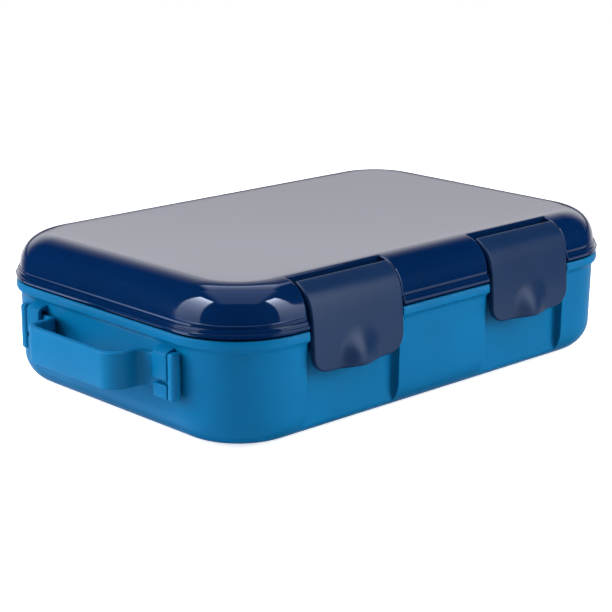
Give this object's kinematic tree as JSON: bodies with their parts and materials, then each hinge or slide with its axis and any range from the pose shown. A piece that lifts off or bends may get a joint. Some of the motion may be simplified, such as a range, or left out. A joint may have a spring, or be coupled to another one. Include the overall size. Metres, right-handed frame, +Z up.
{
  "type": "bento lunch box",
  "caption": "Compact lunch box with a hinged domed lid held by wide front latches, a strap handle on one end and a lift-out compartment tray.",
  "frame": {"origin": "centre of the underside of the tub", "axes": "+X away from the handle along the length, -Y towards the latches at the front, +Z up through the lid"},
  "size_m": [0.2568, 0.1752, 0.0646],
  "materials": {
    "tub_blue": "satin moulded polypropylene",
    "handle_blue": "satin moulded polypropylene",
    "tray_pale": "smooth moulded polypropylene",
    "lid_navy": "high gloss",
    "liner_pale": "smooth",
    "seal_silicone": "soft translucent silicone",
    "latch_navy": "fine matt",
    "pin_steel": "drawn wire"
  },
  "bodies": {
    "base": {"base_tub": "tub_blue", "carry_handle": "handle_blue", "food_tray": "tray_pale", "hinge_pin_left": "pin_steel", "hinge_pin_right": "pin_steel"},
    "lid": {"lid_shell": "lid_navy", "lid_liner": "liner_pale", "lid_seal": "seal_silicone", "latch_pin_left": "pin_steel", "latch_pin_right": "pin_steel"},
    "left_latch": {"latch_left": "latch_navy"},
    "right_latch": {"latch_right": "latch_navy"}
  },
  "joints": [
    {"name": "lid_hinge", "type": "hinge", "parent": "base", "child": "lid", "pos_m": [0, 0.0853, 0.046], "axis": [-1, 0, 0], "range_deg": [0, 110]},
    {"name": "latch_left_pivot", "type": "hinge", "parent": "lid", "child": "left_latch", "pos_m": [-0.05225, -0.0716, 0.0593], "axis": [-1, 0, 0], "range_deg": [0, 105]},
    {"name": "latch_right_pivot", "type": "hinge", "parent": "lid", "child": "right_latch", "pos_m": [0.05225, -0.0716, 0.0593], "axis": [-1, 0, 0], "range_deg": [0, 105]}
  ]
}
